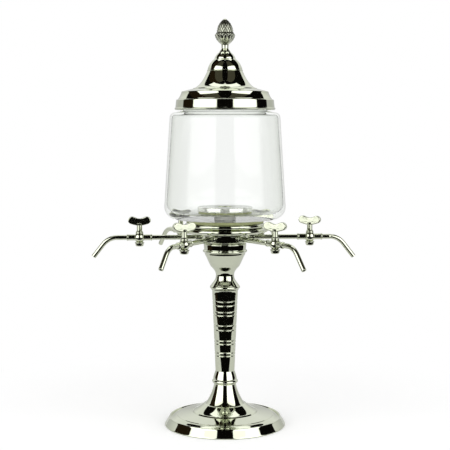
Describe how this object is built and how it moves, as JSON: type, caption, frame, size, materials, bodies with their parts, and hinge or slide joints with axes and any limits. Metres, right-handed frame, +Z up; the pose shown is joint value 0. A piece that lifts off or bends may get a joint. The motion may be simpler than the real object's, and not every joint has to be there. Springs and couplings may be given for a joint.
{
  "type": "absinthe fountain",
  "caption": "Table fountain with a turned metal stand, a clear glass water jar, a bell lid with a pine-cone finial, and a ring of radial taps with turning handles and bent spouts.",
  "frame": {"origin": "centre of the foot's underside, on the table", "axes": "+Z up through the column, jar and finial; +X towards the right-hand tap; -Y towards the viewer"},
  "size_m": [0.3582, 0.3099, 0.5479],
  "materials": {
    "nickel": "polished nickel plate",
    "satin_nickel": "satin",
    "steel": "bright zinc",
    "rubber": "matte",
    "glass": "clear blown glass"
  },
  "bodies": {
    "stand": {"base_foot": "nickel", "column": "nickel", "cup": "nickel", "tie_rod": "steel", "tie_washer": "steel", "tie_nut": "steel", "hub": "nickel", "gallery": "nickel", "seat_gasket": "rubber", "glass_jar": "glass", "clamp_gasket": "rubber", "clamp_nut": "nickel", "port_collars": "nickel", "arm_1": "nickel", "arm_2": "nickel", "arm_3": "nickel", "arm_4": "nickel", "arm_5": "nickel", "arm_6": "nickel", "tap_body_1": "nickel", "tap_body_2": "nickel", "tap_body_3": "nickel", "tap_body_4": "nickel", "tap_body_5": "nickel", "tap_body_6": "nickel", "spout_1": "nickel", "spout_2": "nickel", "spout_3": "nickel", "spout_4": "nickel", "spout_5": "nickel", "spout_6": "nickel"},
    "key_1": {"tap_key_1": "nickel", "key_washer_1": "satin_nickel", "key_nut_1": "nickel"},
    "key_2": {"tap_key_2": "nickel", "key_washer_2": "satin_nickel", "key_nut_2": "nickel"},
    "key_3": {"tap_key_3": "nickel", "key_washer_3": "satin_nickel", "key_nut_3": "nickel"},
    "key_4": {"tap_key_4": "nickel", "key_washer_4": "satin_nickel", "key_nut_4": "nickel"},
    "key_5": {"tap_key_5": "nickel", "key_washer_5": "satin_nickel", "key_nut_5": "nickel"},
    "key_6": {"tap_key_6": "nickel", "key_washer_6": "satin_nickel", "key_nut_6": "nickel"},
    "lid": {"lid_shell": "nickel", "lid_bell": "nickel", "lid_sleeve": "satin_nickel", "finial": "nickel", "finial_screw": "steel"}
  },
  "joints": [
    {"name": "tap_1_turn", "type": "hinge", "parent": "stand", "child": "key_1", "pos_m": [0.115, 0, 0.2565], "axis": [0, 0, 1], "continuous": true},
    {"name": "tap_2_turn", "type": "hinge", "parent": "stand", "child": "key_2", "pos_m": [0.0575, 0.09959, 0.2565], "axis": [0, 0, 1], "continuous": true},
    {"name": "tap_3_turn", "type": "hinge", "parent": "stand", "child": "key_3", "pos_m": [-0.0575, 0.09959, 0.2565], "axis": [0, 0, 1], "continuous": true},
    {"name": "tap_4_turn", "type": "hinge", "parent": "stand", "child": "key_4", "pos_m": [-0.115, 0, 0.2565], "axis": [0, 0, 1], "continuous": true},
    {"name": "tap_5_turn", "type": "hinge", "parent": "stand", "child": "key_5", "pos_m": [-0.0575, -0.09959, 0.2565], "axis": [0, 0, 1], "continuous": true},
    {"name": "tap_6_turn", "type": "hinge", "parent": "stand", "child": "key_6", "pos_m": [0.0575, -0.09959, 0.2565], "axis": [0, 0, 1], "continuous": true},
    {"name": "lid_lift", "type": "slide", "parent": "stand", "child": "lid", "axis": [0, 0, 1], "range_m": [0, 0.09]}
  ]
}
